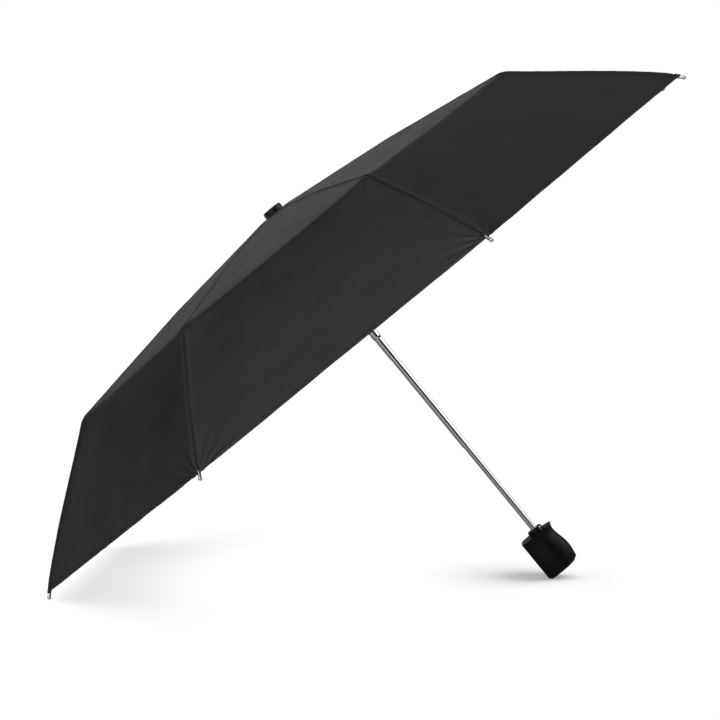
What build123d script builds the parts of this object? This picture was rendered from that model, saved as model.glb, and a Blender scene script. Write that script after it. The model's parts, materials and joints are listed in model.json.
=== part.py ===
from build123d import *
import os
from math import asin, atan2, cos, degrees, hypot, radians, sin

# A three-fold compact umbrella, open and lying down.
#
# Every piece is drawn with the shaft upright on +Z and the foot of the handle at z = 0. The eight
# ribs are drawn once, in the plane y = 0, and turned about the shaft. The finished pieces are then
# laid down together, so that the two lowest rib tips and one edge of the handle stand on z = 0.
# Millimetres. In a rib's own plane, x runs out along the link and y is its upper side.

# ---- driving dimensions ----
RIBS = 8
RIB_PITCH = 360 / RIBS
FIRST_RIB = RIB_PITCH / 2

# Shaft: three tubes, the thinnest one in the handle.
TOP_OUTER = 5.3
TOP_INNER = 4.95
TOP_LOW = 312
TOP_HIGH = 525
TOP_NECK_OUTER = 4.55
TOP_NECK_INNER = 4.18
TOP_NECK_HIGH = 340
SHOULDER = 3
MIDDLE_OUTER = 4.1
MIDDLE_INNER = 3.8
MIDDLE_LOW = 181
MIDDLE_HIGH = 357
MIDDLE_NECK_INNER = 3.62
MIDDLE_NECK_HIGH = 213
MIDDLE_COLLAR = 4.7
BOTTOM_OUTER = 3.55
BOTTOM_INNER = 3.05
BOTTOM_LOW = 8
BOTTOM_HIGH = 221
BOTTOM_COLLAR = 3.75
COLLAR_LENGTH = 6
COLLAR_GAP = 2

# Spring locks, which stick out under the end of the tube that they hold up.
LOCK_WIDTH = 2.4
LOCK_HEIGHT = 5
LOCK_PROUD = 1.25
LOCK_LEAF = 0.4
LOCK_LEAF_LENGTH = 22
LOCK_SLOT_ROOM = 0.3
LOCK_BELOW_TUBE = 0.3

# Crown and runner: the two slotted hubs, each with a ring wire that the links swing on.
HUB_OUTER = 13
RING_RADIUS = 11.5
RING_WIRE = 0.6
RING_GROOVE = 0.65
HUB_SLOT_WIDTH = 1.7
HUB_SLOT_DEPTH = 9.4
HUB_SLOT_ROOM = 2.2
HUB_BEYOND_RING = 5
CROWN_PIVOT_Z = 521
CROWN_BORE = 5.35
CROWN_TOP = 526.2
RUNNER_BORE = 5.5
RUNNER_SLEEVE = 28
RUNNER_SLEEVE_RADIUS = 7.6
RUNNER_LIP_RADIUS = 9
RUNNER_LIP = 4

# Cap, and the plug that it screws into.
CAP_RADIUS = 12
CAP_LOW = 527.4
CAP_TOP = 534
CAP_EDGE = 2
CAP_STEM_RADIUS = 2.05
CAP_STEM_LOW = 511
PLUG_RADIUS = 4.9
PLUG_BORE = 2.1
PLUG_LOW = 508
STEM_HOLE = 2.6

# Rib links. The slopes are below the horizontal, with the canopy open.
TOP_RIB_SLOPE = 6.5
TOP_RIB_LENGTH = 154.5
STRETCHER_LENGTH = 85
STRETCHER_DROP = 3.6
MIDDLE_RIB_SLOPE = 9.76
MIDDLE_RIB_LENGTH = 159.3
HINGE_OFFSET = 1.9
TIP_RADIUS_OUT = 479.5
TIP_Z = 352.2
CHANNEL_WIDTH = 3
CHANNEL_DEPTH = 2.8
CHANNEL_WALL = 0.5
STRETCHER_DEPTH = 2.4
STRETCHER_WIDTH = 2.6
SOLID_END = 4
EYE_RADIUS = 1.5
HUB_EYE_RADIUS = 1.7
TONGUE = 1.2
FORK_GAP = 1.5
FORK_WIDTH = 3.1
BODY_FROM_AXIS = 3.6
BODY_FROM_RING = 5.5
FORK_DEPTH = 3.8
LINK_FACE = 1
STRETCHER_LUG = 4.5
PIN_RADIUS = 0.6
PIN_HOLE = 0.65
PIN_HEAD_RADIUS = 1
PIN_HEAD = 0.25
ROD_RADIUS = 1.1
ROD_BOW = 4
ROD_SOCKET = 14
FERRULE_RADIUS = 1.7
FERRULE_LENGTH = 9
TIP_BALL = 2.2

# Canopy: its outer face over the ribs, and the strap that ties it when it is closed.
CANOPY_THICK = 0.5
CANOPY_TOP_RADIUS = 13
CANOPY_TOP_Z = 527.2
CANOPY_OVER_TOP_RIB = 4.6
CANOPY_KNEE_RADIUS = 325
CANOPY_KNEE_Z = 481.7
CANOPY_OVER_ROD = 2.4
CANOPY_SHORT_OF_TIP = 4.2
CANOPY_BOW_STEPS = 4
STRAP_RIB = 2
STRAP_FROM_RIB = 5
STRAP_WIDTH = 14.5
STRAP_THICK = 0.8
STRAP_GAP = 0.3
STRAP_POINTS = 3
STRAP_END = 5
SNAP_RADIUS = 5.5
SNAP_THICK = 1.6
SNAP_GAP = 0.05

# Handle: a D section with its flat side at -x, told by (height, flat side, back, half width).
HANDLE_FOOT = (0, -19, 13.9, 16.5)
HANDLE_SECTIONS = (
    (2.8, -22, 18.6, 19.2),
    (12, -22, 20.2, 20.4),
    (23, -22, 20.5, 20.6),
    (37, -22, 17.8, 19.6),
    (52, -22, 19.8, 20.2),
)
HANDLE_TOP = 52
HANDLE_FLAT = 11
HANDLE_WIDEST_X = -2
DISH_RADIUS = 81
DISH_FLOOR = 49.5
CORE_RADIUS = 8.5
CORE_ROOM = 0.1
CORE_LOW = 6
CORE_HIGH = 49.2
CORE_BORE = 3.6
TUBE_PIN_RADIUS = 1.25
TUBE_PIN_Z = 30
TUBE_PIN_LENGTH = 15
HANDLE_COLLAR_RADIUS = 9.3
HANDLE_COLLAR_LOW = 50.4
HANDLE_COLLAR_HIGH = 57.5
HANDLE_COLLAR_EDGE = 1
EYELET_X = 6.6
EYELET_Z = 54
EYELET_WIDTH = 2.7
EYELET_HEIGHT = 4.4
INLAY_Z = 37
INLAY_WIDTH = 9
INLAY_LENGTH = 17
INLAY_DEEP = 1
INLAY_PROUD = 0.3
INLAY_ROOM = 0.1


# ---- places worked out from them, as (radius, height) in the plane of a rib ----
def step(point, slope, along, over=0.0):
    """The point reached from `point` along a line falling at `slope`, then square to it."""
    a = radians(slope)
    return (
        point[0] + along * cos(a) + over * sin(a),
        point[1] - along * sin(a) + over * cos(a),
    )


CROWN_PIVOT = (RING_RADIUS, CROWN_PIVOT_Z)
STRETCHER_ALONG = (STRETCHER_LENGTH**2 - STRETCHER_DROP**2) ** 0.5
STRETCHER_PIVOT = step(CROWN_PIVOT, TOP_RIB_SLOPE, STRETCHER_ALONG, -STRETCHER_DROP)
# The stretcher is as long as its pivot's distance from the crown, so the runner stays on the shaft.
RUNNER_PIVOT_Z = 2 * STRETCHER_PIVOT[1] - CROWN_PIVOT_Z
RUNNER_PIVOT = (RING_RADIUS, RUNNER_PIVOT_Z)
STRETCHER_SLOPE = degrees(
    atan2(RUNNER_PIVOT[1] - STRETCHER_PIVOT[1], STRETCHER_PIVOT[0] - RUNNER_PIVOT[0])
)
FIRST_HINGE = step(CROWN_PIVOT, TOP_RIB_SLOPE, TOP_RIB_LENGTH, HINGE_OFFSET)
SECOND_HINGE = step(FIRST_HINGE, MIDDLE_RIB_SLOPE, MIDDLE_RIB_LENGTH, -2 * HINGE_OFFSET)
TIP = (TIP_RADIUS_OUT, TIP_Z)
TIP_OUT = TIP[0] - SECOND_HINGE[0]
TIP_DOWN = SECOND_HINGE[1] - TIP[1]
TIP_REACH = hypot(TIP_OUT, TIP_DOWN)
OUTER_RIB_SLOPE = degrees(atan2(TIP_DOWN, TIP_OUT) + asin(HINGE_OFFSET / TIP_REACH))
OUTER_RIB_LENGTH = (TIP_REACH**2 - HINGE_OFFSET**2) ** 0.5
RUNNER_LOW = RUNNER_PIVOT_Z - HUB_BEYOND_RING - RUNNER_SLEEVE


def link_plane(point, slope):
    """The side view of a link: x along it and y up from it, with the origin on `point`."""
    a = radians(slope)
    return Plane(origin=(point[0], 0, point[1]), x_dir=(cos(a), 0, -sin(a)), z_dir=(0, -1, 0))


def turned(profile):
    """The piece turned about the shaft from its half section, a closed loop of (radius, height)."""
    with BuildPart() as piece:
        with BuildSketch(Plane.XZ):
            with BuildLine():
                Polyline(*profile, close=True)
            make_face()
        revolve(axis=Axis.Z)
    return piece.part


# ---- shaft ----
bottom_tube_profile = (
    (BOTTOM_INNER, BOTTOM_LOW),
    (BOTTOM_OUTER, BOTTOM_LOW),
    (BOTTOM_OUTER, BOTTOM_HIGH - COLLAR_LENGTH),
    (BOTTOM_COLLAR, BOTTOM_HIGH - COLLAR_LENGTH),
    (BOTTOM_COLLAR, BOTTOM_HIGH),
    (BOTTOM_INNER, BOTTOM_HIGH),
)
middle_tube_profile = (
    (MIDDLE_NECK_INNER, MIDDLE_LOW),
    (MIDDLE_OUTER, MIDDLE_LOW),
    (MIDDLE_OUTER, TOP_NECK_HIGH + SHOULDER + COLLAR_GAP),
    (MIDDLE_COLLAR, TOP_NECK_HIGH + SHOULDER + COLLAR_GAP),
    (MIDDLE_COLLAR, MIDDLE_HIGH),
    (MIDDLE_INNER, MIDDLE_HIGH),
    (MIDDLE_INNER, MIDDLE_NECK_HIGH),
    (MIDDLE_NECK_INNER, MIDDLE_NECK_HIGH),
)
top_tube_profile = (
    (TOP_NECK_INNER, TOP_LOW),
    (TOP_NECK_OUTER, TOP_LOW),
    (TOP_NECK_OUTER, TOP_NECK_HIGH),
    (TOP_OUTER, TOP_NECK_HIGH + SHOULDER),
    (TOP_OUTER, TOP_HIGH),
    (TOP_INNER, TOP_HIGH),
    (TOP_INNER, TOP_NECK_HIGH + SHOULDER),
    (TOP_NECK_INNER, TOP_NECK_HIGH),
)


def slotted_tube(profile, lock_top):
    """A tube with the slot in its +y wall that its spring lock looks out of."""
    with BuildPart() as piece:
        add(turned(profile))
        with BuildSketch(Plane.XZ):
            with Locations((0, lock_top - LOCK_HEIGHT / 2)):
                Rectangle(
                    LOCK_WIDTH + 2 * LOCK_SLOT_ROOM, LOCK_HEIGHT + 2 * LOCK_SLOT_ROOM
                )
        extrude(amount=-2 * TOP_OUTER, mode=Mode.SUBTRACT)
    return piece.part


def spring_lock(wall_outer, wall_inner, lock_top):
    """A leaf spring inside a tube, with a button that has a square top and a sloping foot."""
    out = wall_outer + LOCK_PROUD
    leaf_face = (wall_inner**2 - (LOCK_WIDTH / 2) ** 2) ** 0.5 - LOCK_SLOT_ROOM
    leaf_back = leaf_face - LOCK_LEAF
    low = lock_top - LOCK_HEIGHT
    with BuildPart() as piece:
        with BuildSketch(Plane.YZ):
            with BuildLine():
                Polyline(
                    (leaf_back, low - LOCK_LEAF_LENGTH),
                    (leaf_face, low - LOCK_LEAF_LENGTH),
                    (leaf_face, low),
                    (wall_outer, low),
                    (out, low + LOCK_HEIGHT / 2),
                    (out, lock_top),
                    (leaf_back, lock_top),
                    close=True,
                )
            make_face()
        extrude(amount=LOCK_WIDTH / 2, both=True)
    return piece.part


BOTTOM_LOCK_TOP = MIDDLE_LOW - LOCK_BELOW_TUBE
MIDDLE_LOCK_TOP = TOP_LOW - LOCK_BELOW_TUBE
RUNNER_CATCH_TOP = RUNNER_LOW - LOCK_BELOW_TUBE

with BuildPart() as bottom_tube:
    add(slotted_tube(bottom_tube_profile, BOTTOM_LOCK_TOP))
    with BuildSketch(Plane.XZ):
        with Locations((0, TUBE_PIN_Z)):
            Circle(TUBE_PIN_RADIUS + CORE_ROOM)
    extrude(amount=TUBE_PIN_LENGTH, both=True, mode=Mode.SUBTRACT)

middle_tube = slotted_tube(middle_tube_profile, MIDDLE_LOCK_TOP)
top_tube = slotted_tube(top_tube_profile, RUNNER_CATCH_TOP)
bottom_lock = spring_lock(BOTTOM_OUTER, BOTTOM_INNER, BOTTOM_LOCK_TOP)
middle_lock = spring_lock(MIDDLE_OUTER, MIDDLE_INNER, MIDDLE_LOCK_TOP)
runner_catch = spring_lock(TOP_OUTER, TOP_INNER, RUNNER_CATCH_TOP)


# ---- crown, runner, ring wires, cap ----
def hub_slots(pivot_z, open_side):
    """Cuts the wire groove and the eight link slots, which are open below (-1) or above (+1)."""
    with BuildSketch(Plane.XZ) as groove:
        with Locations(((RING_RADIUS - RING_GROOVE + HUB_OUTER) / 2, pivot_z)):
            Rectangle(HUB_OUTER - RING_RADIUS + RING_GROOVE, 2 * RING_GROOVE)
    revolve(groove.sketch, axis=Axis.Z, mode=Mode.SUBTRACT)
    slot_height = 2 * HUB_BEYOND_RING + HUB_SLOT_ROOM
    slot_middle = pivot_z + open_side * (slot_height / 2 - HUB_SLOT_ROOM)
    with PolarLocations(HUB_SLOT_DEPTH, RIBS, start_angle=FIRST_RIB):
        with Locations((HUB_OUTER / 2, 0, slot_middle)):
            Box(HUB_OUTER, HUB_SLOT_WIDTH, slot_height, mode=Mode.SUBTRACT)


with BuildPart() as crown:
    add(
        turned(
            (
                (CROWN_BORE, CROWN_PIVOT_Z - HUB_BEYOND_RING),
                (HUB_OUTER, CROWN_PIVOT_Z - HUB_BEYOND_RING),
                (HUB_OUTER, CROWN_TOP),
                (STEM_HOLE, CROWN_TOP),
                (STEM_HOLE, TOP_HIGH + CORE_ROOM),
                (CROWN_BORE, TOP_HIGH + CORE_ROOM),
            )
        )
    )
    hub_slots(CROWN_PIVOT_Z, -1)

with BuildPart() as runner:
    with BuildSketch(Plane.XZ):
        with BuildLine():
            head_low = RUNNER_PIVOT_Z - HUB_BEYOND_RING
            lip_top = RUNNER_LOW + RUNNER_LIP
            Polyline(
                (RUNNER_SLEEVE_RADIUS, head_low - HUB_BEYOND_RING),
                (HUB_OUTER, head_low),
                (HUB_OUTER, RUNNER_PIVOT_Z + HUB_BEYOND_RING),
                (RUNNER_BORE, RUNNER_PIVOT_Z + HUB_BEYOND_RING),
                (RUNNER_BORE, RUNNER_LOW),
                (RUNNER_LIP_RADIUS, RUNNER_LOW),
                (RUNNER_LIP_RADIUS, lip_top),
            )
            Spline(
                (RUNNER_LIP_RADIUS, lip_top),
                (RUNNER_SLEEVE_RADIUS, lip_top + RUNNER_LIP),
                (RUNNER_SLEEVE_RADIUS, head_low - HUB_BEYOND_RING),
                tangents=((-1, 1), (0, 1)),
            )
        make_face()
    revolve(axis=Axis.Z)
    hub_slots(RUNNER_PIVOT_Z, 1)

with BuildPart() as crown_ring:
    with BuildSketch(Plane.XZ):
        with Locations(CROWN_PIVOT):
            Circle(RING_WIRE)
    revolve(axis=Axis.Z)

with BuildPart() as runner_ring:
    with BuildSketch(Plane.XZ):
        with Locations(RUNNER_PIVOT):
            Circle(RING_WIRE)
    revolve(axis=Axis.Z)

with BuildPart() as top_plug:
    with BuildSketch(Plane.XY.offset(PLUG_LOW)):
        Circle(PLUG_RADIUS)
        Circle(PLUG_BORE, mode=Mode.SUBTRACT)
    extrude(amount=TOP_HIGH - PLUG_LOW)

with BuildPart() as cap:
    with BuildSketch(Plane.XY.offset(CAP_LOW)):
        Circle(CAP_RADIUS)
    extrude(amount=CAP_TOP - CAP_LOW)
    fillet(cap.edges().group_by(Axis.Z)[-1], CAP_EDGE)
    with BuildSketch(Plane.XY.offset(CAP_STEM_LOW)):
        Circle(CAP_STEM_RADIUS)
    extrude(amount=CAP_LOW - CAP_STEM_LOW)


# ---- rib links, drawn in the plane of one rib ----
def beam(plane, start, end, over, width, depth, solid_end=SOLID_END):
    """A channel that is open below, with solid ends, about the line y = over of its plane."""
    with BuildSketch(plane) as outline:
        with Locations(((start + end) / 2, over)):
            Rectangle(end - start, depth)
    extrude(outline.sketch, amount=width / 2, both=True)
    with BuildSketch(plane) as pocket:
        with Locations(((start + end) / 2, over - CHANNEL_WALL)):
            Rectangle(end - start - 2 * solid_end, depth)
    extrude(pocket.sketch, amount=width / 2 - CHANNEL_WALL, both=True, mode=Mode.SUBTRACT)


def eye_web(plane, axis, side, radius, from_axis, over, depth, width):
    """The flat end of a link: its outline runs from the body to a round end about the axis."""
    with BuildSketch(plane) as outline:
        with Locations(axis):
            Circle(radius)
        with Locations((axis[0] + side * (from_axis + LINK_FACE / 2), over)):
            Rectangle(LINK_FACE, depth)
        make_hull()
    extrude(outline.sketch, amount=width / 2, both=True)


def eye_hole(plane, axis):
    with BuildSketch(plane) as hole:
        with Locations(axis):
            Circle(PIN_HOLE)
    extrude(hole.sketch, amount=TONGUE, both=True, mode=Mode.SUBTRACT)


def fork(plane, axis, side, over, depth):
    """Two cheeks about the axis, with the gap for the other link's tongue and the riveted pin."""
    eye_web(plane, axis, side, EYE_RADIUS, BODY_FROM_AXIS, over, depth, FORK_WIDTH)
    gap = FORK_DEPTH + 2 * EYE_RADIUS
    gap_height = 2 * (depth + 2 * EYE_RADIUS)
    with BuildSketch(plane) as opening:
        with Locations((axis[0] + side * (FORK_DEPTH - gap / 2), axis[1])):
            Rectangle(gap, gap_height)
    extrude(opening.sketch, amount=FORK_GAP / 2, both=True, mode=Mode.SUBTRACT)
    with BuildSketch(plane) as pin:
        with Locations(axis):
            Circle(PIN_RADIUS)
    extrude(pin.sketch, amount=FORK_WIDTH / 2, both=True)
    for face in (1, -1):
        with BuildSketch(plane.offset(face * FORK_WIDTH / 2)) as head:
            with Locations(axis):
                Circle(PIN_HEAD_RADIUS)
        extrude(head.sketch, amount=face * PIN_HEAD)


top_plane = link_plane(CROWN_PIVOT, TOP_RIB_SLOPE)
stretcher_plane = link_plane(RUNNER_PIVOT, STRETCHER_SLOPE)
middle_plane = link_plane(FIRST_HINGE, MIDDLE_RIB_SLOPE)
outer_plane = link_plane(SECOND_HINGE, OUTER_RIB_SLOPE)

with BuildPart() as top_rib:
    end = TOP_RIB_LENGTH - BODY_FROM_AXIS
    beam(top_plane, BODY_FROM_RING, end, 0, CHANNEL_WIDTH, CHANNEL_DEPTH)
    eye_web(top_plane, (0, 0), 1, HUB_EYE_RADIUS, BODY_FROM_RING, 0, CHANNEL_DEPTH, TONGUE)
    eye_hole(top_plane, (0, 0))
    first_eye = (TOP_RIB_LENGTH, HINGE_OFFSET)
    eye_web(top_plane, first_eye, -1, EYE_RADIUS, BODY_FROM_AXIS, 0, CHANNEL_DEPTH, TONGUE)
    eye_hole(top_plane, first_eye)
    with BuildSketch(top_plane):
        with Locations((STRETCHER_ALONG, -STRETCHER_DROP)):
            Circle(EYE_RADIUS)
        with Locations((STRETCHER_ALONG, CHANNEL_DEPTH / 2 - CHANNEL_WALL)):
            Rectangle(STRETCHER_LUG, CHANNEL_WALL)
        make_hull()
    extrude(amount=TONGUE / 2, both=True)
    eye_hole(top_plane, (STRETCHER_ALONG, -STRETCHER_DROP))

with BuildPart() as stretcher:
    end = STRETCHER_LENGTH - BODY_FROM_AXIS
    beam(stretcher_plane, BODY_FROM_RING, end, 0, STRETCHER_WIDTH, STRETCHER_DEPTH)
    eye_web(stretcher_plane, (0, 0), 1, HUB_EYE_RADIUS, BODY_FROM_RING, 0, STRETCHER_DEPTH, TONGUE)
    eye_hole(stretcher_plane, (0, 0))
    fork(stretcher_plane, (STRETCHER_LENGTH, 0), -1, 0, STRETCHER_DEPTH)

with BuildPart() as middle_rib:
    end = MIDDLE_RIB_LENGTH - BODY_FROM_AXIS
    beam(middle_plane, BODY_FROM_AXIS, end, -HINGE_OFFSET, CHANNEL_WIDTH, CHANNEL_DEPTH)
    fork(middle_plane, (0, 0), 1, -HINGE_OFFSET, CHANNEL_DEPTH)
    second_eye = (MIDDLE_RIB_LENGTH, -2 * HINGE_OFFSET)
    over = -HINGE_OFFSET
    eye_web(middle_plane, second_eye, -1, EYE_RADIUS, BODY_FROM_AXIS, over, CHANNEL_DEPTH, TONGUE)
    eye_hole(middle_plane, second_eye)

# The rod is bowed up, and its end points at the ferrule's ball.
ROD_HALF = (OUTER_RIB_LENGTH - BODY_FROM_AXIS) / 2
ROD_ARC_RADIUS = (ROD_HALF**2 + ROD_BOW**2) / (2 * ROD_BOW)
ROD_END_TURN = degrees(asin(ROD_HALF / ROD_ARC_RADIUS))


def rod_point(share, over=0.0):
    """A point of the rod's centre line in the outer rib's plane, or of a line above it."""
    along = 2 * ROD_HALF * share - ROD_HALF
    lift = (ROD_ARC_RADIUS**2 - along**2) ** 0.5 - ROD_ARC_RADIUS + ROD_BOW
    turn = asin(along / ROD_ARC_RADIUS)
    return (
        BODY_FROM_AXIS + ROD_HALF + along + over * sin(turn),
        HINGE_OFFSET + lift + over * cos(turn),
    )


with BuildPart() as outer_rib:
    with BuildSketch(outer_plane):
        with Locations(((BODY_FROM_AXIS + ROD_SOCKET) / 2, HINGE_OFFSET)):
            Rectangle(ROD_SOCKET - BODY_FROM_AXIS, CHANNEL_DEPTH)
    extrude(amount=CHANNEL_WIDTH / 2, both=True)
    fork(outer_plane, (0, 0), 1, HINGE_OFFSET, CHANNEL_DEPTH)
    with BuildLine(outer_plane):
        rod_line = ThreePointArc(rod_point(0), rod_point(0.5), rod_point(1))
    with BuildSketch(Plane(origin=rod_line @ 0, z_dir=rod_line % 0)):
        Circle(ROD_RADIUS)
    sweep(path=rod_line)

tip_plane = Plane(origin=rod_line @ 1, x_dir=(0, 1, 0), z_dir=rod_line % 1)
with BuildPart() as rib_tip:
    with BuildSketch(tip_plane.offset(-FERRULE_LENGTH)):
        Circle(FERRULE_RADIUS)
    extrude(amount=FERRULE_LENGTH)
    with Locations(tip_plane):
        Sphere(TIP_BALL)
    add(outer_rib.part, mode=Mode.SUBTRACT)


# ---- canopy and its strap ----
def in_outer_plane(point):
    """(radius, height) of a point given in the outer rib's plane."""
    return step(SECOND_HINGE, OUTER_RIB_SLOPE, point[0], point[1])


def canopy_line(over=0.0, past_hem=0.0):
    """The canopy's outer face over a rib, from the top to the hem, or a line at a distance from it."""
    hem_share = 1 - (CANOPY_SHORT_OF_TIP - past_hem) / (2 * ROD_HALF)
    line = [(CANOPY_TOP_RADIUS, CANOPY_TOP_Z + over)]
    line.append(step(CROWN_PIVOT, TOP_RIB_SLOPE, TOP_RIB_LENGTH, CANOPY_OVER_TOP_RIB + over))
    knee_slope = (MIDDLE_RIB_SLOPE + OUTER_RIB_SLOPE) / 2
    line.append(step((CANOPY_KNEE_RADIUS, CANOPY_KNEE_Z), knee_slope, 0, over))
    for n in range(1, CANOPY_BOW_STEPS + 1):
        point = rod_point(hem_share * n / CANOPY_BOW_STEPS, CANOPY_OVER_ROD + over)
        line.append(in_outer_plane(point))
    return line


def octagon(radius, height):
    with BuildSketch(Plane.XY.offset(height)) as section:
        RegularPolygon(radius, RIBS, rotation=FIRST_RIB)
    return section.sketch


with BuildPart() as canopy:
    loft([octagon(*point) for point in canopy_line()], ruled=True)
    inside = canopy_line(-CANOPY_THICK, CANOPY_THICK)
    loft([octagon(*point) for point in inside], ruled=True, mode=Mode.SUBTRACT)
    with BuildSketch(Plane.XY.offset(CANOPY_TOP_Z)):
        Circle(STEM_HOLE)
    extrude(amount=CANOPY_THICK, both=True, mode=Mode.SUBTRACT)

# The strap lies beside one rib, on the gore that follows it. A gore's face is straight in the
# direction of its hem, so the strap is the rib's line drawn out that way.
HEM_WAY = Vector(-sin(radians(RIB_PITCH / 2)), cos(radians(RIB_PITCH / 2)), 0)
strap_low = canopy_line(STRAP_GAP)[-STRAP_POINTS:]
strap_high = canopy_line(STRAP_GAP + STRAP_THICK)[-STRAP_POINTS:]
strap_edge = Plane(origin=HEM_WAY * STRAP_FROM_RIB, x_dir=(1, 0, 0), z_dir=(0, -1, 0))

with BuildPart() as tie_strap:
    with BuildSketch(strap_edge):
        with BuildLine():
            Polyline(*strap_low, *strap_high[::-1], close=True)
        make_face()
    extrude(amount=STRAP_WIDTH, dir=HEM_WAY)

strap_run = strap_high[1][0] - strap_high[0][0]
strap_fall = strap_high[0][1] - strap_high[1][1]
strap_slope = degrees(atan2(strap_fall, strap_run))
strap_way = Vector(strap_run, 0, -strap_fall)
snap_place = step(strap_high[0], strap_slope, SNAP_RADIUS + STRAP_END, SNAP_GAP)
snap_centre = Vector(snap_place[0], 0, snap_place[1])
snap_centre += HEM_WAY * (STRAP_FROM_RIB + STRAP_WIDTH / 2)
strap_face = Plane(origin=snap_centre, x_dir=HEM_WAY, z_dir=strap_way.cross(HEM_WAY))
with BuildPart() as tie_snap:
    with BuildSketch(strap_face):
        Circle(SNAP_RADIUS)
    extrude(amount=SNAP_THICK)


# ---- handle ----
def handle_section(height, flat_x, back_x, half_width):
    with BuildSketch(Plane.XY.offset(height)) as section:
        with BuildLine():
            near_edge = (flat_x, -HANDLE_FLAT)
            far_edge = (flat_x, HANDLE_FLAT)
            near_side = (HANDLE_WIDEST_X, -half_width)
            far_side = (HANDLE_WIDEST_X, half_width)
            Line(near_edge, far_edge)
            Spline(far_edge, far_side, tangents=((0, 1), (1, 0)))
            EllipticalCenterArc(
                (HANDLE_WIDEST_X, 0),
                back_x - HANDLE_WIDEST_X,
                half_width,
                start_angle=-90,
                arc_size=180,
            )
            Spline(near_side, near_edge, tangents=((-1, 0), (0, 1)))
        make_face()
    return section.sketch


with BuildPart() as handle_shell:
    loft([handle_section(*section) for section in HANDLE_SECTIONS])
    loft([handle_section(*HANDLE_FOOT), handle_section(*HANDLE_SECTIONS[0])], ruled=True)
    with Locations((0, 0, DISH_FLOOR + DISH_RADIUS)):
        Sphere(DISH_RADIUS, mode=Mode.SUBTRACT)
    with BuildSketch(Plane.XY.offset(CORE_LOW - CORE_ROOM)):
        Circle(CORE_RADIUS + CORE_ROOM)
    extrude(amount=HANDLE_TOP, mode=Mode.SUBTRACT)
    inlay_face = Plane(origin=(HANDLE_SECTIONS[0][1], 0, INLAY_Z), x_dir=(0, 0, 1), z_dir=(-1, 0, 0))
    with BuildSketch(inlay_face):
        SlotOverall(INLAY_LENGTH + 2 * INLAY_ROOM, INLAY_WIDTH + 2 * INLAY_ROOM)
    extrude(amount=-INLAY_DEEP - INLAY_ROOM, mode=Mode.SUBTRACT)

with BuildPart() as handle_inlay:
    with BuildSketch(inlay_face.offset(-INLAY_DEEP)):
        SlotOverall(INLAY_LENGTH, INLAY_WIDTH)
    extrude(amount=INLAY_DEEP + INLAY_PROUD)

with BuildPart() as tube_pin:
    with BuildSketch(Plane.XZ):
        with Locations((0, TUBE_PIN_Z)):
            Circle(TUBE_PIN_RADIUS)
    extrude(amount=TUBE_PIN_LENGTH / 2, both=True)

with BuildPart() as handle_core:
    with BuildSketch(Plane.XY.offset(CORE_LOW)):
        Circle(CORE_RADIUS)
    extrude(amount=CORE_HIGH - CORE_LOW)
    with BuildSketch(Plane.XY.offset(BOTTOM_LOW - CORE_ROOM)):
        Circle(CORE_BORE)
    extrude(amount=HANDLE_TOP, mode=Mode.SUBTRACT)
    with BuildSketch(Plane.XZ):
        with Locations((0, TUBE_PIN_Z)):
            Circle(TUBE_PIN_RADIUS + CORE_ROOM)
    extrude(amount=TUBE_PIN_LENGTH, both=True, mode=Mode.SUBTRACT)

with BuildPart() as handle_collar:
    with BuildSketch(Plane.XY.offset(HANDLE_COLLAR_LOW)):
        Circle(HANDLE_COLLAR_RADIUS)
    extrude(amount=HANDLE_COLLAR_HIGH - HANDLE_COLLAR_LOW)
    chamfer(handle_collar.edges().group_by(Axis.Z)[-1], HANDLE_COLLAR_EDGE)
    with BuildSketch(Plane.XY.offset(HANDLE_COLLAR_LOW)):
        Circle(CORE_BORE)
    extrude(amount=HANDLE_COLLAR_HIGH - HANDLE_COLLAR_LOW, mode=Mode.SUBTRACT)
    with BuildSketch(Plane.XZ):
        with Locations((EYELET_X, EYELET_Z)):
            SlotOverall(EYELET_HEIGHT, EYELET_WIDTH, rotation=90)
    extrude(amount=HANDLE_COLLAR_RADIUS, both=True, mode=Mode.SUBTRACT)


# ---- every piece by name, with the ribs turned into their places ----
pieces = {
    "handle_shell": handle_shell.part,
    "handle_core": handle_core.part,
    "handle_collar": handle_collar.part,
    "handle_inlay": handle_inlay.part,
    "tube_pin": tube_pin.part,
    "bottom_tube": bottom_tube.part,
    "bottom_lock": bottom_lock,
    "middle_tube": middle_tube,
    "middle_lock": middle_lock,
    "top_tube": top_tube,
    "runner_catch": runner_catch,
    "crown": crown.part,
    "crown_ring": crown_ring.part,
    "top_plug": top_plug.part,
    "cap": cap.part,
    "canopy": canopy.part,
    "runner": runner.part,
    "runner_ring": runner_ring.part,
}
for k in range(RIBS):
    turn = Rot(0, 0, FIRST_RIB + k * RIB_PITCH)
    pieces[f"top_rib_{k + 1}"] = turn * top_rib.part
    pieces[f"stretcher_{k + 1}"] = turn * stretcher.part
    pieces[f"middle_rib_{k + 1}"] = turn * middle_rib.part
    pieces[f"outer_rib_{k + 1}"] = turn * outer_rib.part
    pieces[f"rib_tip_{k + 1}"] = turn * rib_tip.part
    if k + 1 == STRAP_RIB:
        pieces["tie_strap"] = turn * tie_strap.part
        pieces["tie_snap"] = turn * tie_snap.part

# ---- laid down: the floor touches the handle's foot and the balls of the two lowest tips ----
TIP_X = -TIP[0] * cos(radians(FIRST_RIB))
FOOT_X = HANDLE_FOOT[1]
FLOOR_RUN = hypot(TIP_X - FOOT_X, TIP_Z)
FLOOR_ANGLE = degrees(atan2(TIP_Z, FOOT_X - TIP_X) - asin(TIP_BALL / FLOOR_RUN))
tilt = Rot(0, -FLOOR_ANGLE, 0)
tilted = Compound(children=[tilt * piece for piece in pieces.values()]).bounding_box()
LAID = Pos(-(tilted.min.X + tilted.max.X) / 2, 0, -tilted.min.Z) * tilt

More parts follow.
